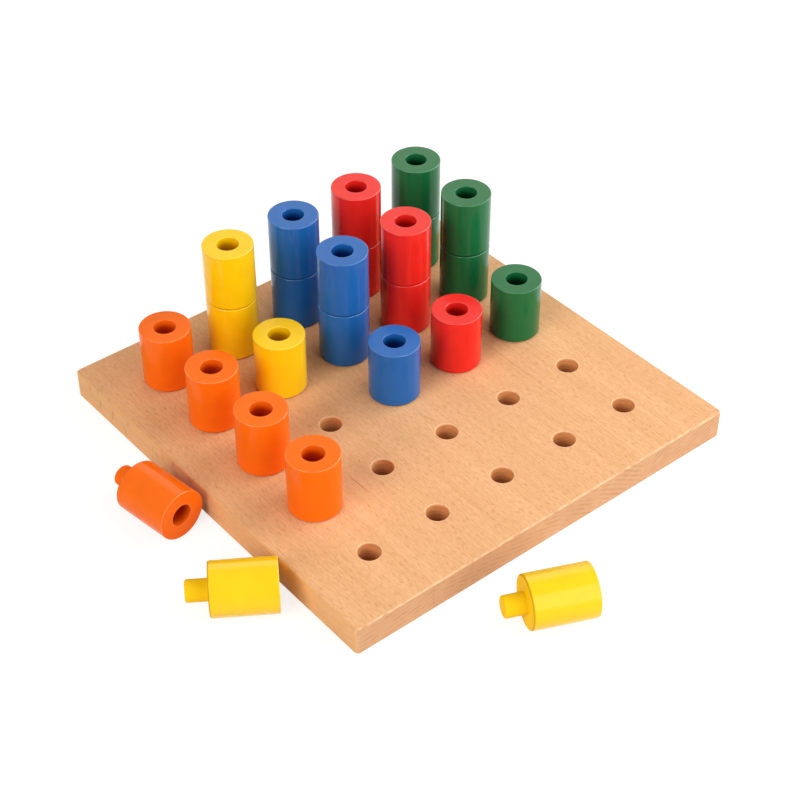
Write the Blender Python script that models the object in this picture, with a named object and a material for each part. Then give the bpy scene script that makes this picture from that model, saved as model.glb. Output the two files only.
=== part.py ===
"""Peg sorting board.

A square beech board with a grid of blind round holes, and painted turned pegs. Each peg has a tenon
below, which plugs into the board or into another peg, and a bore in its top for the next tenon.

Metres, +Z up. The origin is the centre of the board's underside, and +X runs along the grain.
"""

import math
from collections import namedtuple

import bmesh
import bpy
from mathutils import Matrix, Vector

# Pegs
PEG_DIAMETER = 0.0296
PEG_HEIGHT = 0.036  # the body, without its tenon
PEG_CHAMFER = 0.0007
TENON_DIAMETER = 0.012
TENON_LENGTH = 0.012
TENON_CHAMFER = 0.0008

# Sockets: the board's holes and the bores in the pegs' tops
SOCKET_CLEARANCE = 0.0003  # all round a tenon
SOCKET_SPARE = 0.0015  # below a tenon's tip
SOCKET_LIP = 0.0004  # chamfer at the mouth
SEAT_GAP = 0.0003  # under each peg's shoulder

# Board
FINGER_GAP = 0.0164  # between neighbouring pegs
BOARD_MARGIN = 0.0245  # from the outer pegs to the board's edge
BOARD_FLOOR = 0.0045  # wood left under each hole
BOARD_CORNER_RADIUS = 0.0025
BOARD_EDGE_RADIUS = 0.0015

# Each row's colour, from the front of the board back, and the height of the stack in each of its
# holes, from the -X end
ROWS = (
    ("orange", (1, 1, 1, 1, 0)),
    ("yellow", (2, 1, 0, 0, 0)),
    ("blue", (2, 2, 1, 0, 0)),
    ("red", (2, 2, 1, 0, 0)),
    ("green", (2, 2, 1, 0, 0)),
)

# Gap of each loose peg to the board, and its place along the board's side, from the middle
LOOSE_ORANGE_GAP = 0.004
LOOSE_ORANGE_ALONG = -0.0123
FRONT_YELLOW_GAP = 0.0008
FRONT_YELLOW_ALONG = 0.0689
RIGHT_YELLOW_GAP = 0.0229
RIGHT_YELLOW_ALONG = -0.0357

# The side of the board that each loose peg lies off, and the way its tenon points, counter-clockwise
# from +X
LoosePeg = namedtuple("LoosePeg", "name side gap along heading")
FRONT = Vector((0, -1, 0))
RIGHT = Vector((1, 0, 0))
LOOSE_PEGS = (
    LoosePeg("orange_peg_5", FRONT, LOOSE_ORANGE_GAP, LOOSE_ORANGE_ALONG, math.radians(188.4)),
    LoosePeg("yellow_peg_4", FRONT, FRONT_YELLOW_GAP, FRONT_YELLOW_ALONG, math.radians(236.2)),
    LoosePeg("yellow_peg_5", RIGHT, RIGHT_YELLOW_GAP, RIGHT_YELLOW_ALONG, math.radians(245.8)),
)

# Facets
ROUND_SIDES = 24
CORNER_STEPS = 3
EDGE_STEPS = 2
ROUND_BEVEL = 0.5  # the bevel profile that is part of a circle
SMOOTH_ANGLE = math.radians(30)
WELD_DISTANCE = 1e-6
CUT_OVERSHOOT = 0.001  # how far a cutter stands out of the face it cuts

# Colours, linear, and how rough each finish is
BEECH = (0.72, 0.40, 0.21)
BEECH_ROUGHNESS = 0.55
PAINTS = {
    "orange": (0.95, 0.14, 0.01),
    "yellow": (0.96, 0.56, 0.02),
    "blue": (0.04, 0.12, 0.34),
    "red": (0.74, 0.03, 0.02),
    "green": (0.03, 0.12, 0.04),
}
PAINT_ROUGHNESS = 0.35

# Sizes that follow from the ones above
PEG_RADIUS = PEG_DIAMETER / 2
TENON_RADIUS = TENON_DIAMETER / 2
SOCKET_RADIUS = TENON_RADIUS + SOCKET_CLEARANCE
SOCKET_DEPTH = TENON_LENGTH + SOCKET_SPARE
HOLE_PITCH = PEG_DIAMETER + FINGER_GAP
HOLES_PER_SIDE = len(ROWS)
GRID_SPAN = (HOLES_PER_SIDE - 1) * HOLE_PITCH
BOARD_SIDE = GRID_SPAN + PEG_DIAMETER + 2 * BOARD_MARGIN
BOARD_THICKNESS = SOCKET_DEPTH + BOARD_FLOOR


def clear_scene():
    """Remove whatever the open file holds."""
    for found in list(bpy.data.objects):
        bpy.data.objects.remove(found, do_unlink=True)


def finish_material(name, colour, roughness):
    """A plain non-metal finish."""
    material = bpy.data.materials.new(name)
    material.use_nodes = True
    material.diffuse_color = (*colour, 1)
    shader = material.node_tree.nodes["Principled BSDF"]
    shader.inputs["Base Color"].default_value = (*colour, 1)
    shader.inputs["Roughness"].default_value = roughness
    shader.inputs["Metallic"].default_value = 0
    return material


def add_object(name, mesh, parent=None):
    """Link a mesh into the scene as a named object."""
    added = bpy.data.objects.new(name, mesh)
    added.parent = parent
    bpy.context.scene.collection.objects.link(added)
    return added


def mesh_from(bm, name):
    """Turn a bmesh into a smooth-shaded mesh with crisp corners."""
    bmesh.ops.recalc_face_normals(bm, faces=bm.faces)
    mesh = bpy.data.meshes.new(name)
    bm.to_mesh(mesh)
    bm.free()
    mesh.shade_smooth()
    mesh.set_sharp_from_angle(angle=SMOOTH_ANGLE)
    return mesh


def turned_mesh(name, profile):
    """A solid turned about Z from (radius, height) points that start and end on the axis."""
    bm = bmesh.new()
    points = [bm.verts.new((radius, 0, height)) for radius, height in profile]
    edges = [bm.edges.new(pair) for pair in zip(points, points[1:])]
    bmesh.ops.spin(
        bm,
        geom=points + edges,
        cent=(0, 0, 0),
        axis=(0, 0, 1),
        angle=math.tau,
        steps=ROUND_SIDES,
        use_merge=True,
    )
    bmesh.ops.remove_doubles(bm, verts=bm.verts, dist=WELD_DISTANCE)
    return mesh_from(bm, name)


def peg_mesh(name):
    """A peg with its shoulder at height 0, its tenon below and its bore in the top."""
    tip = -TENON_LENGTH
    top = PEG_HEIGHT
    profile = [
        (0, tip),
        (TENON_RADIUS - TENON_CHAMFER, tip),
        (TENON_RADIUS, tip + TENON_CHAMFER),
        (TENON_RADIUS, 0),
        (PEG_RADIUS - PEG_CHAMFER, 0),
        (PEG_RADIUS, PEG_CHAMFER),
        (PEG_RADIUS, top - PEG_CHAMFER),
        (PEG_RADIUS - PEG_CHAMFER, top),
        (SOCKET_RADIUS + SOCKET_LIP, top),
        (SOCKET_RADIUS, top - SOCKET_LIP),
        (SOCKET_RADIUS, top - SOCKET_DEPTH),
        (0, top - SOCKET_DEPTH),
    ]
    return turned_mesh(name, profile)


def board_blank_mesh():
    """The square board before drilling, with its corners and edges rounded."""
    bm = bmesh.new()
    bmesh.ops.create_cube(bm, size=1)
    bmesh.ops.scale(bm, verts=bm.verts, vec=(BOARD_SIDE, BOARD_SIDE, BOARD_THICKNESS))
    bmesh.ops.translate(bm, verts=bm.verts, vec=(0, 0, BOARD_THICKNESS / 2))
    upright = [edge for edge in bm.edges if edge.verts[0].co.z != edge.verts[1].co.z]
    bmesh.ops.bevel(
        bm,
        geom=upright,
        offset=BOARD_CORNER_RADIUS,
        segments=CORNER_STEPS,
        profile=ROUND_BEVEL,
        affect="EDGES",
    )
    rims = [edge for edge in bm.edges if edge.verts[0].co.z == edge.verts[1].co.z]
    bmesh.ops.bevel(
        bm,
        geom=rims,
        offset=BOARD_EDGE_RADIUS,
        segments=EDGE_STEPS,
        profile=ROUND_BEVEL,
        affect="EDGES",
    )
    return mesh_from(bm, "board")


def hole_place(column, row):
    """The centre of a hole in the board's top face."""
    first = -GRID_SPAN / 2
    return Vector((first + column * HOLE_PITCH, first + row * HOLE_PITCH, BOARD_THICKNESS))


def add_hole_cutter(board):
    """A drill-shaped cutter at the first hole, repeated over the grid."""
    mouth = SOCKET_RADIUS + SOCKET_LIP
    profile = [
        (0, -SOCKET_DEPTH),
        (SOCKET_RADIUS, -SOCKET_DEPTH),
        (SOCKET_RADIUS, -SOCKET_LIP),
        (mouth + CUT_OVERSHOOT, CUT_OVERSHOOT),
        (0, CUT_OVERSHOOT),
    ]
    cutter = add_object("hole_cutter", turned_mesh("hole_cutter", profile), board)
    cutter.location = hole_place(0, 0)
    for name, step in (("columns", (HOLE_PITCH, 0, 0)), ("rows", (0, HOLE_PITCH, 0))):
        array = cutter.modifiers.new(name, "ARRAY")
        array.count = HOLES_PER_SIDE
        array.use_relative_offset = False
        array.use_constant_offset = True
        array.constant_offset_displace = step
    cutter.hide_render = True
    cutter.display_type = "WIRE"
    return cutter


def add_board():
    """The drilled board."""
    board = add_object("board", board_blank_mesh())
    board.data.materials.append(finish_material("beech", BEECH, BEECH_ROUGHNESS))
    holes = board.modifiers.new("holes", "BOOLEAN")
    holes.operation = "DIFFERENCE"
    holes.solver = "EXACT"
    holes.object = add_hole_cutter(board)
    return board


def add_standing_pegs(board, meshes):
    """The pegs in the board, each upper one riding on the peg that it is plugged into."""
    for row, (colour, stacks) in enumerate(ROWS):
        number = 0
        for column, height in enumerate(stacks):
            carrier = board
            seat = hole_place(column, row)
            for _ in range(height):
                number += 1
                peg = add_object(f"{colour}_peg_{number}", meshes[colour], carrier)
                peg.location = seat + Vector((0, 0, SEAT_GAP))
                carrier = peg
                seat = Vector((0, 0, PEG_HEIGHT))


def reach(tenon_way, toward):
    """How far a lying peg reaches from the middle of its body in a level direction."""
    along = tenon_way.dot(toward)
    across = math.sqrt(1 - along**2)
    half = PEG_HEIGHT / 2
    end_rim = abs(along) * half + across * (PEG_RADIUS - PEG_CHAMFER)
    side_rim = abs(along) * (half - PEG_CHAMFER) + across * PEG_RADIUS
    tenon_rim = along * (half + TENON_LENGTH) + across * TENON_RADIUS
    return max(end_rim, side_rim, tenon_rim)


def add_loose_peg(loose, board, mesh):
    """A peg lying on its side, on one of its facets, beside the board."""
    tenon_way = Vector((math.cos(loose.heading), math.sin(loose.heading), 0))
    along_side = Vector((abs(loose.side.y), abs(loose.side.x), 0))
    off_centre = BOARD_SIDE / 2 + loose.gap + reach(tenon_way, -loose.side)
    middle = loose.side * off_centre + along_side * loose.along
    half_facet = math.pi / ROUND_SIDES
    middle.z = PEG_RADIUS * math.cos(half_facet)
    shoulder = middle + tenon_way * PEG_HEIGHT / 2
    turn = Matrix.Rotation(loose.heading + math.pi, 4, "Z")
    lay_down = Matrix.Rotation(math.pi / 2, 4, "Y")
    roll = Matrix.Rotation(half_facet, 4, "Z")
    peg = add_object(loose.name, mesh, board)
    peg.matrix_local = Matrix.Translation(shoulder) @ turn @ lay_down @ roll


def main():
    """Build the board and all its pegs."""
    clear_scene()
    board = add_board()
    meshes = {}
    for colour, paint in PAINTS.items():
        meshes[colour] = peg_mesh(f"{colour}_peg")
        meshes[colour].materials.append(finish_material(f"{colour}_paint", paint, PAINT_ROUGHNESS))
    add_standing_pegs(board, meshes)
    for loose in LOOSE_PEGS:
        colour = loose.name.split("_")[0]
        add_loose_peg(loose, board, meshes[colour])


main()
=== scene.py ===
"""Dress the peg sorting board: a drilled beech board and painted turned pegs, under plain studio light."""

import math
from typing import NamedTuple

import bmesh
import bpy
import numpy as np
from bpy.props import FloatProperty, FloatVectorProperty, PointerProperty
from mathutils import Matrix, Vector


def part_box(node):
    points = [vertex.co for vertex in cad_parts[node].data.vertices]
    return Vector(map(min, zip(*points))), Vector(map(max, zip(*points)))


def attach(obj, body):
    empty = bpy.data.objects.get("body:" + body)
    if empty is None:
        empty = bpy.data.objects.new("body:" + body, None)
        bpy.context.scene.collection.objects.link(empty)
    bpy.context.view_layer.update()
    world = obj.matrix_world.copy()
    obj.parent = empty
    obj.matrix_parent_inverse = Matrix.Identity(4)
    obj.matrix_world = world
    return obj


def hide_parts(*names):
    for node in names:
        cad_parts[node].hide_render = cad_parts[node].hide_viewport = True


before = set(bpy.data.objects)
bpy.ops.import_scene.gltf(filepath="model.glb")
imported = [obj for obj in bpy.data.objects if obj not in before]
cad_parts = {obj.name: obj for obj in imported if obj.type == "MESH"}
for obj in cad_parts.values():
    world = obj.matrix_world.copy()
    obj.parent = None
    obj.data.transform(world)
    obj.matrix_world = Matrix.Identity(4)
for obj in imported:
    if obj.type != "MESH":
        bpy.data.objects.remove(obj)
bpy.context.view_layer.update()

bl_info = {
    "name": "Peg sorting board",
    "version": (1, 0, 0),
    "blender": (4, 5, 0),
    "location": "3D View > Sidebar > Peg board",
    "description": "Builds a beech board with blind holes and the painted pegs that plug into it",
    "category": "Add Mesh",
}

BOARD_LOW, BOARD_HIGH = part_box("board")
PEG_LOW, PEG_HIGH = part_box("orange_peg_1")
NEXT_PEG_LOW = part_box("orange_peg_2")[0]
TENON_RADIUS = 0.006
TENON_LENGTH = 0.012
# The board's holes and the pegs' bores are alike. A tenon has some room round it and under its tip
TENON_PLAY = 0.0003
TENON_SPARE = 0.0015
SOCKET_RADIUS = TENON_RADIUS + TENON_PLAY
SOCKET_DEPTH = TENON_LENGTH + TENON_SPARE
HOLES_PER_SIDE = 5
PEG_SIZES = (
    "Peg radius",
    "Peg height",
    "Rim round",
    "Shoulder round",
    "Tenon radius",
    "Tenon length",
    "Tenon round",
    "Bore radius",
    "Bore depth",
    "Lip round",
)

# Linear colours
WHITE = (1, 1, 1)
PAINTS = {
    "orange": (0.98, 0.163, 0.0050),
    "yellow": (0.98, 0.610, 0.0035),
    "blue": (0.0130, 0.132, 0.455),
    "red": (0.83, 0.0215, 0.0155),
    "green": (0.0105, 0.153, 0.0480),
}

# How much of the gloss and lacquer each colour has
SHEENS = {"orange": 0.5, "yellow": 1, "blue": 1, "red": 1, "green": 1}


class Lamp(NamedTuple):
    """Where a lamp stands round the board, in degrees and metres, its width and its colour."""

    azimuth: float
    elevation: float
    distance: float
    size: float
    tint: tuple = WHITE


WARM_WHITE = (1, 0.97, 0.91)
LAMP_YELLOW = (1, 0.90, 0.76)
LAMPS = {
    "key": Lamp(104, 30, 1.4, 1.4),
    "right": Lamp(162, 32, 1.5, 1.0),
    "front": Lamp(10, 35, 2.2, 1.4, WARM_WHITE),
    "fill": Lamp(-60, 20, 1.5, 0.9, WARM_WHITE),
    "back": Lamp(231, 40, 1.5, 0.9, LAMP_YELLOW),
}


class Marks(NamedTuple):
    """A pattern of noise: the size of its marks along X, Y and Z in millimetres, the values that it
    fades in between, and how strongly it shows on the wood's faces and on the end grain."""

    sizes: tuple
    fade: tuple = (0, 1)
    strength: float = 1
    on_end: float = 1
    detail: float = 2.0
    roughness: float = 0.5


# The grain of the wood
RINGS = Marks((30, 5, 5), (0.30, 0.70), strength=0.14, on_end=0.66)
BANDS = Marks((320, 18, 18), (0.35, 0.70), strength=0.20, on_end=0.20)
FIBRES = Marks((4.5, 0.55, 0.55), (0.30, 0.70), strength=0.40, on_end=0.15, roughness=0.6)
STREAKS = Marks((70, 0.7, 0.7), (0.35, 0.70), strength=0.36, on_end=0.07)
PORES = Marks((4.5, 0.44, 0.44), (0.56, 0.72), strength=0.50, on_end=0.04, detail=1.0)
# Flecks are cells of this size, and fade out from their middles
FLECKS = Marks((4.8, 0.60, 1.4), (0.10, 0.30), strength=0.60, on_end=0.12)
FLECK_CHANCES = (0.1, 0.9)  # the random values between which a fleck goes from unseen to dark
FLECKS_LOST = 0.7  # how much fainter the flecks are on the long sides
WISPS = Marks((4.5, 40, 10), (0.58, 0.72), strength=0.45, on_end=0.45)
WISPS_END = (10, 45)  # where along X the wisps fade out, in millimetres
GRAIN_DEPTH = 0.000015  # metres
FIBRE_RELIEF, FLECK_RELIEF = 0.5, 0.5  # shares of the depth
WOOD_ROUGHNESS = 0.42
FIBRE_ROUGHNESS = 0.12
FLECK_ROUGHNESS = 0.08

# The board is glued from staves. In millimetres: the joints along Y, and the middle of each stave's rings
STAVE_JOINTS = (-81.5, 7, 69)
RINGS_Y = (-125, -140, -95, 190)
RINGS_Z = (190, -460, -240, -150)
RING_STEP = 2.9
RING_LINE = (-0.4, 1.0)  # the part of the wave from ring to ring that is dark
# What bends the rings. Here the strength is the reach of a bend, in millimetres
RING_BENDS = (
    Marks((220, 40, 40), strength=1.6, detail=1.0),
    Marks((300, 9, 9), strength=2.2, detail=1.0),
)
STAVE_TONES = (0.4, 0.2, 0.4, 0.3)  # how much of the stave tint each stave has
GLUE = Marks((45, 45, 45), (0.35, 0.65), strength=0.35)
GLUE_LINE = (0.05, 0.28)  # where a glue line fades out, in millimetres from the joint
# One dark pore line on the top: its middle, and where it fades out from there, in millimetres
PORE_LINE_X, PORE_LINE_Y = 48.5, -64.4
PORE_LINE_END = (5.4, 9)
PORE_LINE_EDGE = (0.11, 0.33)
PORE_LINE_STRENGTH = 0.75

# Where a finish changes, in millimetres from the surface or the edge that it is named for
FACE_SKIN = (-0.3, -0.1)
BOARD_EDGE = (-1.3, -0.5)
BOARD_CORNER = (-2.2, -1.0)
MOUTH_RING = (0.15, 0.5)
HOLE_WALL = (-0.1, 0.1)
HOLE_MOUTH = (-1.2, -0.1)
THIN_RIM = (-0.8, -0.2)
ROUND_RIM = (-0.55, -0.35)
ROUND_LIP = (0.35, 0.55)
BORE_WALL = (0.1, 0.4)
BORE_MOUTH = (-7, -0.6)
# From the shoulder of a peg: its underside, and a band just above it that is darkened with painted shade,
# so that the seam where pegs meet looks dark
FOOT = (0.0, 0.3)
SEAM_SHADE_START = (0.0, 0.1)
SEAM_SHADE_END = (0.4, 1.0)

# Wear and painted highlights on the edges, and the wood in the holes, with painted shade deep in them
# Pale marks on the top edges and upright corners: partly sanding wear, partly a painted highlight
WEAR_AND_HIGHLIGHT = Marks((3, 4, 3), (0.25, 0.62), strength=0.50, detail=3.0)
CORNER_WEAR_AND_HIGHLIGHT = 0.4  # the share of the wear that the upright corners have
MOUTH_HIGHLIGHT = 0.35
DRILL_LINES = Marks((9, 9, 0.8), (0.50, 0.80), strength=0.45)
DRILL_WANDER = Marks((6, 6, 6), strength=0.3)
# Painted shade: a hole is darkened towards its bottom, between these depths
HOLE_SHADE = (2, 12)  # the depths between which a hole gets darker, in millimetres
HOLE_SHADE_STRENGTH = 0.42

# The paint. Thick paint is a darker tone of its colour, thin paint and painted shade are powers of it
MOTTLE = Marks((9, 9, 9), (0.30, 0.75), strength=0.40, detail=3.0)
THIN_PATCHES = (0.35, 0.65)  # the mottle's values between which the rim's paint wears thin
PEEL = Marks((2.2, 2.2, 2.2))
THICK_TONE = 0.86
# The pale rim is partly thin paint and partly a painted highlight
THIN_POWER = 0.6
THIN_AND_HIGHLIGHT_STRENGTH = 0.45
SHADE_POWER, SHADE_TONE = 2, 0.5
# How strongly painted shade darkens the paint deep in the bore and in the band just above the shoulder
BORE_SHADE = 0.85
SEAM_SHADE = 0.60
NOISE_MIDDLE = 0.5
MOTTLE_ROUGHNESS = 0.10
FOOT_ROUGHNESS = 0.45
FACE_ROUGHNESS = 0.06
PAINT_DEPTH = 0.00001  # metres
LATHE_STEP = 0.7  # millimetres between the lathe lines on a peg's end faces
LATHE_SHARE = 0.1  # the height of the lathe lines, as a share of the paint's relief
RIM_LACQUER = 0.8
LIP_SHARE = 0.7  # the lacquer on the bore's lip, as a share of that on the rim
LACQUER_IOR = 1.5
LACQUER_ROUGHNESS = 0.09

# The floor
FLOOR_SIZE = 6.0
FLOOR_DROP = 0.0001
FLOOR_FADE = (200, 700)  # where the shadow gives way to plain white, in millimetres from the middle
SHADOW_GREY = 0.33  # the part of the floor's white that takes shadow
BOUNCE_GREY = 0.78  # what the floor throws back at the object

UP = Vector((0, 0, 1))
MILLIMETRE = 0.001
WELD_DISTANCE = 1e-6  # metres
CREASE_ANGLE = math.radians(32)
ROUND_BEVEL = 0.5  # the bevel profile that is part of a circle
ROUND_STEPS = 4
HOLE_SIDES = 72
PEG_SIDES = 96
SPINDLE = 0.05  # radius of the circle that a profile is carried round
CUT_OVERSHOOT = 0.001  # how far a cutter stands out of the face it cuts
CORNER_DIGITS = 6  # decimals of a metre to which corners of a CAD node count as one
END_TOLERANCE = 1e-5  # metres
LYING_SLOPE = 0.5  # a peg whose axis rises less than this lies on its side


def length(name, description, default):
    """A property for a size."""
    return FloatProperty(
        name=name, description=description, default=default, min=0, precision=5, unit="LENGTH"
    )


def colour(name, description, default):
    """A property for a linear colour."""
    return FloatVectorProperty(
        name=name, description=description, default=default, size=3, min=0, max=1, subtype="COLOR"
    )


def share(name, description, default):
    """A property for a share from 0 to 1."""
    return FloatProperty(
        name=name, description=description, default=default, min=0, max=1, subtype="FACTOR"
    )


def brightness(name, description, default):
    """A property for how bright a lamp makes a white surface that faces it."""
    return FloatProperty(name=name, description=description, default=default, min=0)


def place(name, description, default):
    """A property for a point in space."""
    return FloatVectorProperty(
        name=name, description=description, default=default, size=3, subtype="TRANSLATION", unit="LENGTH"
    )


class BoardSettings(bpy.types.PropertyGroup):
    """Sizes and colours of the drilled board"""

    side: length("Side", "Length and width of the board", BOARD_HIGH.x - BOARD_LOW.x)
    thickness: length("Thickness", "Thickness of the board", BOARD_HIGH.z - BOARD_LOW.z)
    corner_radius: length("Corner radius", "Rounding of the upright corners", 0.0025)
    edge_radius: length("Edge radius", "Rounding of the top and bottom edges", 0.0011)
    hole_pitch: length("Hole pitch", "Distance between neighbouring holes", NEXT_PEG_LOW.x - PEG_LOW.x)
    hole_radius: length("Hole radius", "Radius of the blind holes", SOCKET_RADIUS)
    hole_depth: length("Hole depth", "Depth of the blind holes", SOCKET_DEPTH)
    hole_lip: length("Hole lip", "Broken edge at the mouth of each hole", 0.0004)
    pale_wood: colour("Pale wood", "Colour of the wood between the year rings", (0.90, 0.53, 0.283))
    ring_wood: colour("Ring wood", "Colour of the dense lines of the year rings", (0.68, 0.345, 0.150))
    fleck_wood: colour("Fleck wood", "Colour of the short flecks along the grain", (0.50, 0.170, 0.062))
    wisp_wood: colour("Wisp wood", "Colour of the upright wisps on the long sides", (0.50, 0.19, 0.070))
    bore_wood: colour("Bore wood", "Colour of the wood that the drill has rubbed", (0.80, 0.37, 0.14))
    # Painted shade: the dark colour that the bottom of each hole is painted towards
    deep_wood: colour("Deep wood", "Colour at the bottom of a hole", (0.20, 0.075, 0.026))
    # Pale colour of the sanded edges, which also serves as the painted highlight on the edges and round
    # the hole mouths
    worn_wood: colour("Worn wood", "Colour of the sanded edges", (0.98, 0.68, 0.40))
    end_tint: colour("End tint", "How much the end grain darkens the wood", (0.80, 0.755, 0.76))
    side_tint: colour("Side tint", "How much the long sides darken the wood", (1.0, 0.945, 0.82))
    stave_tint: colour("Stave tint", "How much a stave of full tone darkens the wood", (0.94, 0.93, 0.90))
    oil_gloss: share("Oil gloss", "How much the oiled wood reflects", 0.10)


class PegSettings(bpy.types.PropertyGroup):
    """Sizes and colours of the turned pegs"""

    peg_radius: length("Peg radius", "Radius of the body", (PEG_HIGH.x - PEG_LOW.x) / 2)
    peg_height: length("Peg height", "Height of the body", PEG_HIGH.z - PEG_LOW.z - TENON_LENGTH)
    rim_round: length("Rim round", "Rounding of the body's top rim", 0.0005)
    shoulder_round: length("Shoulder round", "Rounding of the body's bottom rim", 0.0011)
    tenon_radius: length("Tenon radius", "Radius of the tenon", TENON_RADIUS)
    tenon_length: length("Tenon length", "Length of the tenon", TENON_LENGTH)
    tenon_round: length("Tenon round", "Rounding of the tenon's tip", 0.0011)
    bore_radius: length("Bore radius", "Radius of the bore in the top", SOCKET_RADIUS)
    bore_depth: length("Bore depth", "Depth of the bore in the top", SOCKET_DEPTH)
    lip_round: length("Lip round", "Rounding of the bore's mouth", 0.0005)
    orange: colour("Orange", "Paint of the orange pegs", PAINTS["orange"])
    yellow: colour("Yellow", "Paint of the yellow pegs", PAINTS["yellow"])
    blue: colour("Blue", "Paint of the blue pegs", PAINTS["blue"])
    red: colour("Red", "Paint of the red pegs", PAINTS["red"])
    green: colour("Green", "Paint of the green pegs", PAINTS["green"])
    roughness: share("Roughness", "Roughness of the paint", 0.18)
    gloss: share("Gloss", "How much the paint reflects", 0.14)
    lacquer: share("Lacquer", "How much clear lacquer lies on the turned sides", 0.24)


class StageSettings(bpy.types.PropertyGroup):
    """Camera, floor and lamps"""

    camera_place: place("Camera place", "Where the camera stands", (0.6054, -0.4932, 0.6710))
    camera_aim: place("Camera aim", "The point in the middle of the picture", (0.0085, -0.0029, 0.018))
    lens: FloatProperty(name="Lens", description="Focal length", default=80.2, min=1, unit="CAMERA")
    floor_glow: share("Floor glow", "How much of the floor's white doesn't take shadow", 0.78)
    sky: share("Sky", "Light from all round", 0.02)
    key: brightness("Key lamp", "Brightness of the main lamp", 0.775)
    right: brightness("Right lamp", "Brightness of the lamp on the right", 0.67)
    front: brightness("Front lamp", "Brightness of the lamp in front", 0.68)
    fill: brightness("Fill lamp", "Brightness of the low lamp on the left", 0.09)
    back: brightness("Back lamp", "Brightness of the lamp behind the board", 0.22)


class Wire:
    """An output of a node. Arithmetic on it adds Math nodes."""

    def __init__(self, tree, node, output=0):
        self.tree = tree
        self.node = node
        self.output = output

    def __getitem__(self, output):
        """Another output of the same node."""
        return Wire(self.tree, self.node, output)

    def __add__(self, other):
        return self.tree.maths("ADD", self, other)

    def __radd__(self, other):
        return self.tree.maths("ADD", other, self)

    def __sub__(self, other):
        return self.tree.maths("SUBTRACT", self, other)

    def __rsub__(self, other):
        return self.tree.maths("SUBTRACT", other, self)

    def __mul__(self, other):
        return self.tree.maths("MULTIPLY", self, other)

    def __rmul__(self, other):
        return self.tree.maths("MULTIPLY", other, self)

    def __pow__(self, other):
        return self.tree.maths("POWER", self, other)

    def __abs__(self):
        return self.tree.maths("ABSOLUTE", self)

    def __gt__(self, other):
        return self.tree.maths("GREATER_THAN", self, other)


class Tree:
    """Writes nodes into a node tree."""

    def __init__(self, node_tree):
        self.node_tree = node_tree

    def add(self, kind, settings=None, sockets=None, output=0):
        """Add a node: its settings first, then a value or a link for each input that is named."""
        node = self.node_tree.nodes.new(kind)
        for name, value in (settings or {}).items():
            setattr(node, name, value)
        for name, value in (sockets or {}).items():
            self.feed(node.inputs[name], value)
        return Wire(self, node, output)

    def feed(self, entry, value):
        """Link a wire to an input, or set a plain value on it."""
        if isinstance(value, Wire):
            self.node_tree.links.new(value.node.outputs[value.output], entry)
        else:
            entry.default_value = value

    def maths(self, operation, *values):
        return self.add("ShaderNodeMath", {"operation": operation}, dict(enumerate(values)))

    def vector(self, x, y, z):
        return self.add("ShaderNodeCombineXYZ", None, {0: x, 1: y, 2: z})

    def parts(self, vector):
        """The three numbers in a vector."""
        split = self.add("ShaderNodeSeparateXYZ", None, {0: vector})
        return split[0], split[1], split[2]


class FinishTree(Tree):
    """Writes the nodes of a finish, in millimetres."""

    def __init__(self, material):
        material.use_nodes = True
        super().__init__(material.node_tree)
        self.shader = material.node_tree.nodes["Principled BSDF"]
        metres = self.add("ShaderNodeTexCoord", output="Object")
        self.place = self.steps(metres, MILLIMETRE, MILLIMETRE, MILLIMETRE)

    def steps(self, vector, x, y, z):
        """Measure a vector in steps of its own along each axis."""
        return self.add(
            "ShaderNodeVectorMath", {"operation": "MULTIPLY"}, {0: vector, 1: (1 / x, 1 / y, 1 / z)}
        )

    def noise(self, pattern):
        """The soft noise of a pattern, about half."""
        return self.add(
            "ShaderNodeTexNoise",
            {"noise_dimensions": "3D"},
            {
                "Vector": self.steps(self.place, *pattern.sizes),
                "Scale": 1.0,
                "Detail": pattern.detail,
                "Roughness": pattern.roughness,
            },
        )

    def ease(self, value, low, high):
        """From 0 at low to 1 at high, with soft ends."""
        return self.add(
            "ShaderNodeMapRange",
            {"interpolation_type": "SMOOTHSTEP"},
            {"Value": value, "From Min": low, "From Max": high},
        )

    def rise(self, value, edge, band):
        """From 0 to 1 over a band, which is given by its two distances from an edge."""
        return self.ease(value, edge + band[0], edge + band[1])

    def marks(self, pattern):
        """1 on the marks of a pattern, 0 between them."""
        return self.ease(self.noise(pattern), *pattern.fade)

    def mix(self, factor, first, second, blend="MIX"):
        """Blend two colours."""
        return self.add(
            "ShaderNodeMix",
            {"data_type": "RGBA", "blend_type": blend},
            {0: factor, 6: opaque(first), 7: opaque(second)},
            output=2,
        )

    def cover(self, sockets, relief, depth):
        """Feed the surface. The relief goes from 0 to 1 over a depth in metres."""
        bump = self.add("ShaderNodeBump", None, {"Height": relief, "Distance": depth, "Strength": 1.0})
        for name, value in {**sockets, "Normal": bump}.items():
            self.feed(self.shader.inputs[name], value)


def opaque(value):
    """A plain colour with its alpha; a wire is passed on."""
    return value if isinstance(value, Wire) else (*value, 1)


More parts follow.
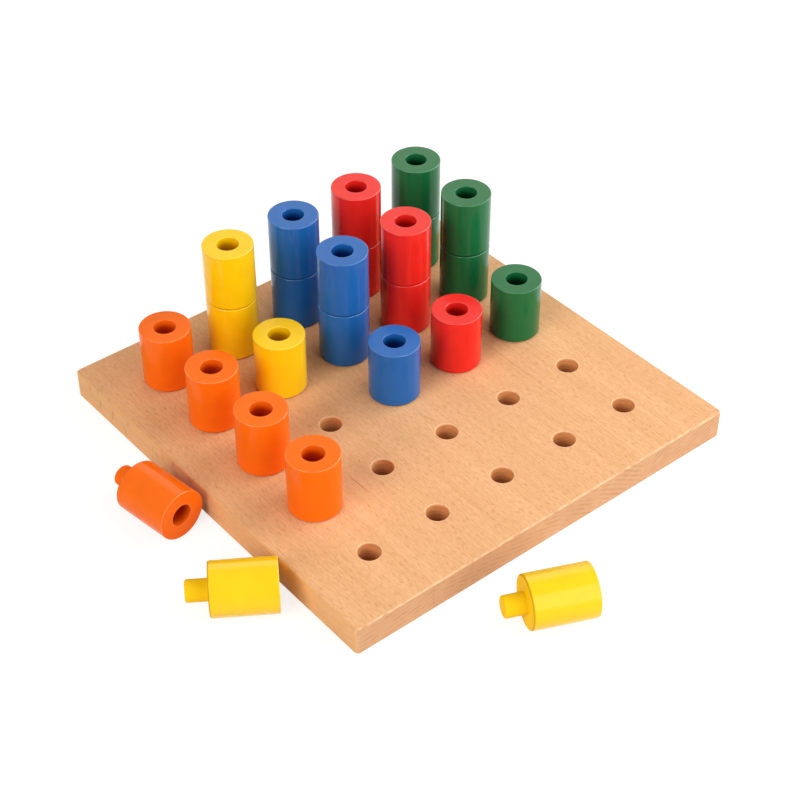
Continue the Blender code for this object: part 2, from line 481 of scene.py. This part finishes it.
class BeechTree(FinishTree):
    """Writes the nodes of oiled beech, glued from staves, with its grain along X."""

    def __init__(self, material, settings):
        super().__init__(material)
        self.settings = settings
        self.x, self.y, self.z = self.parts(self.place)
        self.half = settings.side / MILLIMETRE / 2
        self.top = settings.thickness / MILLIMETRE
        self.pitch = settings.hole_pitch / MILLIMETRE
        self.mouth = (settings.hole_radius + settings.hole_lip) / MILLIMETRE
        self.off_axis = (self.from_row(self.x) ** 2 + self.from_row(self.y) ** 2) ** 0.5
        self.end_grain = self.rise(abs(self.x), self.half, BOARD_EDGE)
        self.long_side = self.rise(abs(self.y), self.half, BOARD_EDGE)
        self.fibre = self.noise(FIBRES)
        self.fleck = self.ray_flecks()

    def from_row(self, along):
        """How far a point is from the nearest row of holes."""
        last = (HOLES_PER_SIDE - 1) / 2
        row = self.maths("ROUND", along * (1 / self.pitch))
        row = self.maths("MAXIMUM", self.maths("MINIMUM", row, last), -last)
        return along - row * self.pitch

    def by_stave(self, values):
        """The value of the stave that a point is in."""
        total = values[0]
        for joint, before, after in zip(STAVE_JOINTS, values, values[1:]):
            total = total + (self.y > joint) * (after - before)
        return total

    def year_rings(self):
        """Thin dark lines round the middle of the trunk that each stave was sawn from."""
        wander = sum(self.noise(bend) * bend.strength for bend in RING_BENDS)
        across = self.y - self.by_stave(RINGS_Y)
        up = self.z - self.by_stave(RINGS_Z)
        radius = (across ** 2 + up ** 2) ** 0.5 + wander
        wave = self.maths("SINE", radius * (math.tau / RING_STEP))
        return self.ease(wave, *RING_LINE) * self.marks(RINGS)

    def ray_flecks(self):
        """Short dark dashes along the grain, fainter on the long sides."""
        cells = self.add(
            "ShaderNodeTexVoronoi",
            {"voronoi_dimensions": "3D"},
            {"Vector": self.steps(self.place, *FLECKS.sizes), "Scale": 1.0, "Randomness": 1.0},
        )
        chance = self.parts(cells["Color"])[0]
        dashes = (1 - self.ease(cells, *FLECKS.fade)) * self.ease(chance, *FLECK_CHANCES)
        return dashes * (1 - self.long_side * FLECKS_LOST)

    def wisps(self):
        """Upright wisps on the long sides, which fade out along X."""
        return self.marks(WISPS) * self.long_side * (1 - self.ease(self.x, *WISPS_END))

    def glue_lines(self):
        """Thin lines where the staves meet, closed tight in places."""
        lines = sum(1 - self.ease(abs(self.y - joint), *GLUE_LINE) for joint in STAVE_JOINTS)
        return lines * self.marks(GLUE)

    def pore_line(self):
        """One long dark pore on the top of the board."""
        across = 1 - self.ease(abs(self.y - PORE_LINE_Y), *PORE_LINE_EDGE)
        return across * (1 - self.ease(abs(self.x - PORE_LINE_X), *PORE_LINE_END))

    def worn_edges(self):
        """1 in places along the top edges of the end grain, and less on the upright corners. They are
        paler partly from sanding and partly from a painted highlight where the edges catch the light."""
        edge = self.end_grain * self.rise(self.z, self.top, BOARD_EDGE)
        corner = self.rise(self.maths("MINIMUM", abs(self.x), abs(self.y)), self.half, BOARD_CORNER)
        return self.maths("MAXIMUM", edge, corner * CORNER_WEAR_AND_HIGHLIGHT) * self.marks(WEAR_AND_HIGHLIGHT)

    def worn_mouths(self):
        """1 on a thin ring round the mouth of each hole, where a pale highlight is painted."""
        ring = 1 - self.ease(abs(self.off_axis - self.mouth), *MOUTH_RING)
        return ring * self.rise(self.z, self.top, FACE_SKIN)

    def bore_mask(self):
        """1 on the walls and floors of the holes, 0 on the rest of the board."""
        inside = 1 - self.rise(self.off_axis, self.mouth, HOLE_WALL)
        return inside * (1 - self.rise(self.z, self.top, HOLE_MOUTH))

    def drilled_wood(self):
        """The rubbed wood in a hole: the lines that a drill leaves, and painted shade that darkens it
        towards the bottom.
        """
        wood = self.settings
        wander = self.noise(DRILL_WANDER) * DRILL_WANDER.strength
        lines = self.ease(self.noise(DRILL_LINES) + wander, *DRILL_LINES.fade)
        drilled = self.mix(lines * DRILL_LINES.strength, wood.bore_wood, wood.fleck_wood)
        shade = self.ease(self.top - self.z, *HOLE_SHADE) * HOLE_SHADE_STRENGTH
        return self.mix(shade, drilled, wood.deep_wood)

    def grained_wood(self):
        """The sanded wood, with each pattern of the grain laid over the last."""
        wood = self.settings
        layers = (
            (RINGS, self.year_rings(), wood.ring_wood),
            (BANDS, self.marks(BANDS), wood.ring_wood),
            (FIBRES, self.ease(self.fibre, *FIBRES.fade), wood.ring_wood),
            (STREAKS, self.marks(STREAKS), wood.ring_wood),
            (PORES, self.marks(PORES) * (1 - self.long_side), wood.fleck_wood),
            (FLECKS, self.fleck, wood.fleck_wood),
            (WISPS, self.wisps(), wood.wisp_wood),
        )
        body = wood.pale_wood
        for pattern, mask, stain in layers:
            strength = self.end_grain * (pattern.on_end - pattern.strength) + pattern.strength
            body = self.mix(mask * strength, body, stain)
        return body

    def board_colour(self):
        """The grained wood with its glue lines, tints, wear and drilled holes."""
        wood = self.settings
        body = self.grained_wood()
        body = self.mix(self.glue_lines() * GLUE.strength, body, wood.fleck_wood)
        body = self.mix(self.pore_line() * PORE_LINE_STRENGTH, body, wood.fleck_wood)
        tints = (
            (self.by_stave(STAVE_TONES), wood.stave_tint),
            (self.end_grain, wood.end_tint),
            (self.long_side, wood.side_tint),
        )
        for tone, tint in tints:
            body = self.mix(tone, body, tint, "MULTIPLY")
        # Pale edges: sanding wear with a painted highlight
        body = self.mix(self.worn_edges() * WEAR_AND_HIGHLIGHT.strength, body, wood.worn_wood)
        # Painted highlight on a thin ring round each hole's mouth
        body = self.mix(self.worn_mouths() * MOUTH_HIGHLIGHT, body, wood.worn_wood)
        return self.mix(self.bore_mask(), body, self.drilled_wood())


def beech_material(settings):
    """Oiled beech: year rings, pores and short ray flecks, and fibres along X."""
    material = bpy.data.materials.new("oiled_beech")
    tree = BeechTree(material, settings)
    roughness = WOOD_ROUGHNESS + tree.fibre * FIBRE_ROUGHNESS + tree.fleck * FLECK_ROUGHNESS
    sockets = {
        "Base Color": tree.board_colour(),
        "Roughness": roughness,
        "Specular IOR Level": settings.oil_gloss,
    }
    relief = tree.fibre * FIBRE_RELIEF + (1 - tree.fleck) * FLECK_RELIEF
    tree.cover(sockets, relief, GRAIN_DEPTH)
    return material


class PaintTree(FinishTree):
    """Writes the nodes of satin paint on a peg, measured from the peg's own axis and shoulder."""

    def __init__(self, material, settings):
        super().__init__(material)
        turned = self.add("ShaderNodeAttribute", {"attribute_name": "turned"}, output="Vector")
        x, y, self.z = self.parts(self.steps(turned, MILLIMETRE, MILLIMETRE, MILLIMETRE))
        self.radius = (x ** 2 + y ** 2) ** 0.5
        self.rim = settings.peg_radius / MILLIMETRE
        self.bore = settings.bore_radius / MILLIMETRE
        self.top = settings.peg_height / MILLIMETRE
        self.mottle = self.noise(MOTTLE)
        self.end_face = self.rise(self.z, self.top, FACE_SKIN)
        self.foot = 1 - self.ease(self.z, *FOOT)
        # Painted shade: a band just above the shoulder, darkened so that the seam where pegs meet looks
        # dark
        self.pooled = self.ease(self.z, *SEAM_SHADE_START) * (1 - self.ease(self.z, *SEAM_SHADE_END))
        self.rims = self.round_rims()

    def round_rims(self):
        """1 on the rounding of the top rim, and less on that of the bore's lip."""
        upper = self.rise(self.z, self.top, ROUND_RIM)
        lip = (1 - self.rise(self.radius, self.bore, ROUND_LIP)) * upper
        return self.rise(self.radius, self.rim, ROUND_RIM) * upper + lip * LIP_SHARE

    def thin_rim(self):
        """1 in places on the edge of the end face, where the paint is thin and a pale highlight is
        painted.
        """
        edge = self.rise(self.radius, self.rim, THIN_RIM) * self.end_face
        return edge * self.ease(self.mottle, *THIN_PATCHES)

    def in_bore(self):
        """1 deep in the bore, 0 at its mouth and on the rest of the peg: where painted shade darkens the
        paint.
        """
        within = 1 - self.rise(self.radius, self.bore, BORE_WALL)
        return within * (1 - self.rise(self.z, self.top, BORE_MOUTH)) * (1 - self.foot)

    def paint_colour(self, paint):
        """Mottled paint, pale where it is thin on the rims, partly as a painted highlight, and darkened
        with painted shade in the bore and in a band just above the shoulder.
        """
        thick = tuple(part * THICK_TONE for part in paint)
        # The pale colour of thin paint, which also serves as the painted highlight on the rims
        pale = tuple(part ** THIN_POWER for part in paint)
        shaded = tuple(part ** SHADE_POWER * SHADE_TONE for part in paint)
        coat = self.mix(self.ease(self.mottle, *MOTTLE.fade) * MOTTLE.strength, paint, thick)
        coat = self.mix(self.thin_rim() * THIN_AND_HIGHLIGHT_STRENGTH, coat, pale)
        coat = self.mix(self.in_bore() * BORE_SHADE, coat, shaded)
        return self.mix(self.pooled * SEAM_SHADE, coat, shaded)

    def paint_roughness(self, even):
        """The roughness, given that of an even coat."""
        patches = (self.mottle - NOISE_MIDDLE) * MOTTLE_ROUGHNESS
        return even + patches + self.foot * FOOT_ROUGHNESS + self.end_face * FACE_ROUGHNESS

    def paint_relief(self):
        """The skin of the paint, with faint lathe lines on the end face."""
        lathe = self.maths("SINE", self.radius * (math.tau / LATHE_STEP)) * self.end_face
        return self.noise(PEEL) + lathe * LATHE_SHARE

    def lacquer(self, sides):
        """Clear lacquer on the roundings, and the given share of it on the turned sides."""
        turned_side = (1 - self.end_face) * (1 - self.foot) * (1 - self.rims) * (1 - self.pooled)
        return self.rims * RIM_LACQUER + turned_side * sides


def paint_material(paint, settings):
    """Satin lacquer on turned wood: paint thin on the rims with a painted highlight there, painted shade
    in the bore and above the shoulder, and faint lathe lines on the end faces.
    """
    material = bpy.data.materials.new(f"{paint}_satin_paint")
    tree = PaintTree(material, settings)
    sockets = {
        "Base Color": tree.paint_colour(getattr(settings, paint)),
        "Roughness": tree.paint_roughness(settings.roughness),
        "Specular IOR Level": settings.gloss * SHEENS[paint],
        "Coat Weight": tree.lacquer(settings.lacquer * SHEENS[paint]),
        "Coat IOR": LACQUER_IOR,
        "Coat Roughness": LACQUER_ROUGHNESS,
    }
    tree.cover(sockets, tree.paint_relief(), PAINT_DEPTH)
    return material


class ShapeTree(Tree):
    """Writes a Geometry Nodes tree with named inputs."""

    def __init__(self, name, inputs):
        super().__init__(bpy.data.node_groups.new(name, "GeometryNodeTree"))
        interface = self.node_tree.interface
        self.keys = {}
        for label, kind in inputs.items():
            made = interface.new_socket(name=label, in_out="INPUT", socket_type=f"NodeSocket{kind}")
            self.keys[label] = made.identifier
        interface.new_socket(name="Shape", in_out="OUTPUT", socket_type="NodeSocketGeometry")
        self.given = self.add("NodeGroupInput")

    def pick(self, values, kind):
        """The value whose place in the list is the point's own index."""
        picked = self.add("GeometryNodeIndexSwitch", {"data_type": kind})
        while len(picked.node.index_switch_items) < len(values):
            picked.node.index_switch_items.new()
        self.feed(picked.node.inputs["Index"], self.add("GeometryNodeInputIndex"))
        for number, value in enumerate(values):
            self.feed(picked.node.inputs[str(number)], value)
        return picked

    def turn(self, corners, sides):
        """Turn a profile about Z. Each corner is a radius, a height and a rounding."""
        places = [self.vector(radius - SPINDLE, height * -1, 0.0) for radius, height, _ in corners]
        roundings = [rounding for _, _, rounding in corners]
        line = self.add("GeometryNodeMeshLine", None, {"Count": len(corners)})
        line = self.add(
            "GeometryNodeSetPosition", None, {"Geometry": line, "Position": self.pick(places, "VECTOR")}
        )
        line = self.add(
            "GeometryNodeStoreNamedAttribute",
            {"data_type": "FLOAT", "domain": "POINT"},
            {"Geometry": line, "Name": "rounding", "Value": self.pick(roundings, "FLOAT")},
        )
        profile = self.add("GeometryNodeMeshToCurve", None, {"Mesh": line})
        rounding = self.add(
            "GeometryNodeInputNamedAttribute", {"data_type": "FLOAT"}, {"Name": "rounding"}
        )
        profile = self.add(
            "GeometryNodeFilletCurve",
            {"mode": "POLY"},
            {"Curve": profile, "Count": ROUND_STEPS, "Radius": rounding},
        )
        ring = self.add(
            "GeometryNodeCurvePrimitiveCircle", None, {"Resolution": sides, "Radius": SPINDLE}
        )
        ring = self.add("GeometryNodeSetCurveNormal", {"mode": "Z_UP"}, {"Curve": ring})
        shape = self.add("GeometryNodeCurveToMesh", None, {"Curve": ring, "Profile Curve": profile})
        return self.add(
            "GeometryNodeMergeByDistance", None, {"Geometry": shape, "Distance": WELD_DISTANCE}
        )

    def close(self, shape):
        """End the tree: smooth shading with crisp creases, real geometry, and the finish."""
        shape = self.add("GeometryNodeSetShadeSmooth", {"domain": "FACE"}, {"Geometry": shape})
        crease = self.add("GeometryNodeInputMeshEdgeAngle") > CREASE_ANGLE
        shape = self.add(
            "GeometryNodeSetShadeSmooth",
            {"domain": "EDGE"},
            {"Geometry": shape, "Selection": crease, "Shade Smooth": False},
        )
        shape = self.add("GeometryNodeRealizeInstances", None, {"Geometry": shape})
        finish = self.given["Finish"]
        shape = self.add("GeometryNodeSetMaterial", None, {"Geometry": shape, "Material": finish})
        self.add("NodeGroupOutput", None, {"Shape": shape})


def drilled_tree():
    """The tree that drills a square grid of blind holes into a blank."""
    sizes = dict.fromkeys(("Hole radius", "Hole depth", "Hole lip", "Hole pitch", "Top"), "Float")
    inputs = {"Blank": "Geometry", **sizes, "Holes per side": "Int", "Finish": "Material"}
    tree = ShapeTree("drilled_board", inputs)
    radius = tree.given["Hole radius"]
    lip = tree.given["Hole lip"]
    depth = tree.given["Hole depth"]
    flare = radius + lip + CUT_OVERSHOOT
    cutter = tree.turn(
        (
            (0.0, CUT_OVERSHOOT, 0.0),
            (flare, CUT_OVERSHOOT, 0.0),
            (radius, lip * -1, lip),
            (radius, depth * -1, 0.0),
            (0.0, depth * -1, 0.0),
        ),
        HOLE_SIDES,
    )
    count = tree.given["Holes per side"]
    span = tree.given["Hole pitch"] * (count - 1)
    grid = tree.add(
        "GeometryNodeMeshGrid",
        None,
        {"Size X": span, "Size Y": span, "Vertices X": count, "Vertices Y": count},
    )
    cutters = tree.add("GeometryNodeInstanceOnPoints", None, {"Points": grid, "Instance": cutter})
    cutters = tree.add(
        "GeometryNodeTransform",
        None,
        {"Geometry": cutters, "Translation": tree.vector(0.0, 0.0, tree.given["Top"])},
    )
    cutters = tree.add("GeometryNodeRealizeInstances", None, {"Geometry": cutters})
    drilled = tree.add(
        "GeometryNodeMeshBoolean",
        {"operation": "DIFFERENCE", "solver": "EXACT"},
        {"Mesh 1": tree.given["Blank"], "Mesh 2": cutters},
    )
    tree.close(drilled)
    return tree


def peg_tree():
    """The tree that turns one peg, with its shoulder at the given place."""
    inputs = dict.fromkeys(PEG_SIZES, "Float")
    inputs.update({"Place": "Vector", "Turn": "Rotation", "Finish": "Material"})
    tree = ShapeTree("turned_peg", inputs)
    sizes = (tree.given[label] for label in PEG_SIZES)
    radius, height, rim, foot, tenon, tip, tip_round, bore, depth, lip = sizes
    shape = tree.turn(
        (
            (0.0, height - depth, 0.0),
            (bore, height - depth, 0.0),
            (bore, height, lip),
            (radius, height, rim),
            (radius, 0.0, foot),
            (tenon, 0.0, 0.0),
            (tenon, tip * -1, tip_round),
            (0.0, tip * -1, 0.0),
        ),
        PEG_SIDES,
    )
    shape = tree.add(
        "GeometryNodeStoreNamedAttribute",
        {"data_type": "FLOAT_VECTOR", "domain": "POINT"},
        {"Geometry": shape, "Name": "turned", "Value": tree.add("GeometryNodeInputPosition")},
    )
    shape = tree.add(
        "GeometryNodeTransform",
        None,
        {"Geometry": shape, "Translation": tree.given["Place"], "Rotation": tree.given["Turn"]},
    )
    tree.close(shape)
    return tree


def add_object(name, data):
    """Put an object in the scene."""
    made = bpy.data.objects.new(name, data)
    bpy.context.scene.collection.objects.link(made)
    return made


def mesh_from(bm, name):
    """Turn an edited mesh into a plain one."""
    mesh = bpy.data.meshes.new(name)
    bm.to_mesh(mesh)
    bm.free()
    return mesh


def shape_with(shape, tree, values):
    """Put a Geometry Nodes tree on an object, with a value for each named input."""
    modifier = shape.modifiers.new("shape", "NODES")
    modifier.node_group = tree.node_tree
    for label, value in values.items():
        modifier[tree.keys[label]] = value


def finish_piece(shape, name, node):
    """Make a working object a plain piece that stands for a CAD node and rides on its body."""
    normals = shape.modifiers.new("normals", "WEIGHTED_NORMAL")
    normals.keep_sharp = True
    graph = bpy.context.evaluated_depsgraph_get()
    mesh = bpy.data.meshes.new_from_object(
        shape.evaluated_get(graph), preserve_all_data_layers=True, depsgraph=graph
    )
    mesh.name = name
    bpy.data.objects.remove(shape)
    piece = add_object(name, mesh)
    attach(piece, node)
    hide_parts(node)


def board_blank(settings):
    """The square board before drilling, with its corners and edges rounded."""
    bm = bmesh.new()
    bmesh.ops.create_cube(bm, size=1)
    bmesh.ops.scale(bm, verts=bm.verts, vec=(settings.side, settings.side, settings.thickness))
    bmesh.ops.translate(bm, verts=bm.verts, vec=UP * settings.thickness / 2)
    for upright, radius in ((True, settings.corner_radius), (False, settings.edge_radius)):
        edges = [edge for edge in bm.edges if upright == (edge.verts[0].co.z != edge.verts[1].co.z)]
        bmesh.ops.bevel(
            bm, geom=edges, offset=radius, segments=ROUND_STEPS, profile=ROUND_BEVEL, affect="EDGES"
        )
    bmesh.ops.recalc_face_normals(bm, faces=bm.faces)
    return mesh_from(bm, "board_blank")


class BuildBoard(bpy.types.Operator):
    """Round, drill and finish the beech board"""

    bl_idname = "peg_board.build_board"
    bl_label = "Build board"

    def execute(self, context):
        settings = context.scene.peg_board.board
        shape = add_object("working", board_blank(settings))
        shape_with(
            shape,
            drilled_tree(),
            {
                "Hole radius": settings.hole_radius,
                "Hole depth": settings.hole_depth,
                "Hole lip": settings.hole_lip,
                "Hole pitch": settings.hole_pitch,
                "Top": settings.thickness,
                "Holes per side": HOLES_PER_SIDE,
                "Finish": beech_material(settings),
            },
        )
        finish_piece(shape, "drilled_beech_board", "board")
        return {"FINISHED"}


def peg_axis(corners):
    """The middle of a peg's corners, and its axis: the way whose spread is unlike the other two."""
    middle = corners.mean(axis=0)
    spread, ways = np.linalg.eigh(np.cov((corners - middle).T))
    odd = 0 if spread[1] - spread[0] > spread[2] - spread[1] else 2
    return middle, ways[:, odd]


def peg_stand(node, settings):
    """Where a CAD peg's shoulder is, and the way from its tenon to its bore. A peg on its side is
    lifted from its facets, so that its round body rests on the floor."""
    corners = np.array([vertex.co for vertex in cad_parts[node].data.vertices])
    corners = np.unique(corners.round(CORNER_DIGITS), axis=0)
    middle, way = peg_axis(corners)
    along = (corners - middle) @ way
    off_axis = np.linalg.norm(corners - middle - np.outer(along, way), axis=1)
    low_end, high_end = (
        off_axis[np.isclose(along, end, atol=END_TOLERANCE)].max() for end in (along.min(), along.max())
    )
    if low_end > high_end:
        way, along = -way, -along
    shoulder = Vector(middle + way * (along.min() + settings.tenon_length))
    way = Vector(way)
    if abs(way.z) < LYING_SLOPE:
        shoulder.z = max(shoulder.z, settings.peg_radius)
    return shoulder, way


class BuildPegs(bpy.types.Operator):
    """Turn and paint every peg, standing or lying where the CAD has it"""

    bl_idname = "peg_board.build_pegs"
    bl_label = "Build pegs"

    def execute(self, context):
        settings = context.scene.peg_board.pegs
        tree = peg_tree()
        sizes = {label: getattr(settings, label.lower().replace(" ", "_")) for label in PEG_SIZES}
        for paint in PAINTS:
            finish = paint_material(paint, settings)
            for node in sorted(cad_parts):
                if not node.startswith(paint):
                    continue
                shoulder, way = peg_stand(node, settings)
                shape = add_object("working", bpy.data.meshes.new("peg"))
                turn = UP.rotation_difference(way).to_euler()
                shape_with(shape, tree, {**sizes, "Place": shoulder, "Turn": turn, "Finish": finish})
                finish_piece(shape, f"turned_{node}", node)
        return {"FINISHED"}


def white_rays(tree):
    """1 for the rays that show the background, 0 for those that light the object."""
    path = tree.add("ShaderNodeLightPath")
    shown = path["Is Camera Ray"]
    for kind in ("Is Glossy Ray", "Is Transmission Ray"):
        shown = tree.maths("MAXIMUM", shown, path[kind])
    return shown


def grey(level):
    """A colour without a tint."""
    return (level, level, level)


def floor_material(settings):
    """A white floor that keeps a soft shadow near the object."""
    material = bpy.data.materials.new("white_floor")
    tree = FinishTree(material)
    x, y, _ = tree.parts(tree.place)
    away = tree.ease((x ** 2 + y ** 2) ** 0.5, *FLOOR_FADE)
    white = tree.mix(away, grey(settings.floor_glow), WHITE)
    glow = tree.add("ShaderNodeEmission", None, {"Color": white})
    shaded = tree.add("ShaderNodeBsdfDiffuse", None, {"Color": opaque(grey(SHADOW_GREY))})
    shown = tree.add("ShaderNodeAddShader", None, {0: glow, 1: shaded})
    unseen = tree.add("ShaderNodeBsdfDiffuse", None, {"Color": opaque(grey(BOUNCE_GREY))})
    surface = tree.add("ShaderNodeMixShader", None, {0: white_rays(tree), 1: unseen, 2: shown})
    tree.feed(material.node_tree.nodes["Material Output"].inputs["Surface"], surface)
    return material


def add_floor(settings):
    """A level floor just under the board."""
    bm = bmesh.new()
    bmesh.ops.create_grid(bm, x_segments=1, y_segments=1, size=FLOOR_SIZE / 2)
    bmesh.ops.translate(bm, verts=bm.verts, vec=UP * -FLOOR_DROP)
    mesh = mesh_from(bm, "floor")
    mesh.materials.append(floor_material(settings))
    floor = add_object("floor", mesh)


def set_sky(settings):
    """White behind the object, and an even light from all round."""
    world = bpy.data.worlds.new("studio")
    world.use_nodes = True
    tree = Tree(world.node_tree)
    shown = white_rays(tree)
    backdrop = world.node_tree.nodes["Background"]
    tree.feed(backdrop.inputs["Color"], opaque(WHITE))
    tree.feed(backdrop.inputs["Strength"], shown + (1 - shown) * settings.sky)
    bpy.context.scene.world = world


def aim(thing, target):
    """Turn a camera or a lamp to look at a point."""
    thing.rotation_euler = (Vector(target) - thing.location).to_track_quat("-Z", "Y").to_euler()


def add_lamp(name, lamp, white):
    """A square soft lamp. White is how bright it makes a white surface that faces it."""
    light = bpy.data.lights.new(name, "AREA")
    light.size = lamp.size
    light.color = lamp.tint
    light.energy = white * (math.pi * lamp.distance) ** 2
    turn, rise = math.radians(lamp.azimuth), math.radians(lamp.elevation)
    level = math.cos(rise)
    way = Vector((math.sin(turn) * level, -math.cos(turn) * level, math.sin(rise)))
    placed = add_object(name, light)
    placed.location = way * lamp.distance
    aim(placed, (0, 0, 0))


def add_camera(settings):
    """The camera at the picture's viewing angle."""
    lens = bpy.data.cameras.new("camera")
    lens.lens = settings.lens
    camera = add_object("camera", lens)
    camera.location = settings.camera_place
    aim(camera, settings.camera_aim)
    bpy.context.scene.camera = camera


class BuildStage(bpy.types.Operator):
    """Set the floor, the lamps and the camera"""

    bl_idname = "peg_board.build_stage"
    bl_label = "Build stage"

    def execute(self, context):
        settings = context.scene.peg_board.stage
        context.scene.view_settings.view_transform = "Standard"
        add_floor(settings)
        set_sky(settings)
        for name, lamp in LAMPS.items():
            add_lamp(f"{name}_lamp", lamp, getattr(settings, name))
        add_camera(settings)
        return {"FINISHED"}


class PegBoardSettings(bpy.types.PropertyGroup):
    """All settings of the peg sorting board"""

    board: PointerProperty(type=BoardSettings, name="Board", description="Settings of the board")
    pegs: PointerProperty(type=PegSettings, name="Pegs", description="Settings of the pegs")
    stage: PointerProperty(type=StageSettings, name="Stage", description="Settings of the stage")


OPERATORS = (BuildBoard, BuildPegs, BuildStage)


class PegBoardPanel(bpy.types.Panel):
    """Buttons and settings for the peg sorting board"""

    bl_idname = "VIEW3D_PT_peg_board"
    bl_label = "Peg sorting board"
    bl_space_type = "VIEW_3D"
    bl_region_type = "UI"
    bl_category = "Peg board"

    def draw(self, context):
        settings = context.scene.peg_board
        for operator, group in zip(OPERATORS, (settings.board, settings.pegs, settings.stage)):
            self.layout.operator(operator.bl_idname)
            for name in group.__annotations__:
                self.layout.prop(group, name)


CLASSES = (BoardSettings, PegSettings, StageSettings, PegBoardSettings, *OPERATORS, PegBoardPanel)


def register():
    for kind in CLASSES:
        bpy.utils.register_class(kind)
    bpy.types.Scene.peg_board = PointerProperty(type=PegBoardSettings)


def unregister():
    del bpy.types.Scene.peg_board
    for kind in reversed(CLASSES):
        bpy.utils.unregister_class(kind)


def main():
    """Build every piece and the stage."""
    register()
    bpy.ops.peg_board.build_board()
    bpy.ops.peg_board.build_pegs()
    bpy.ops.peg_board.build_stage()


if __name__ == "__main__":
    main()
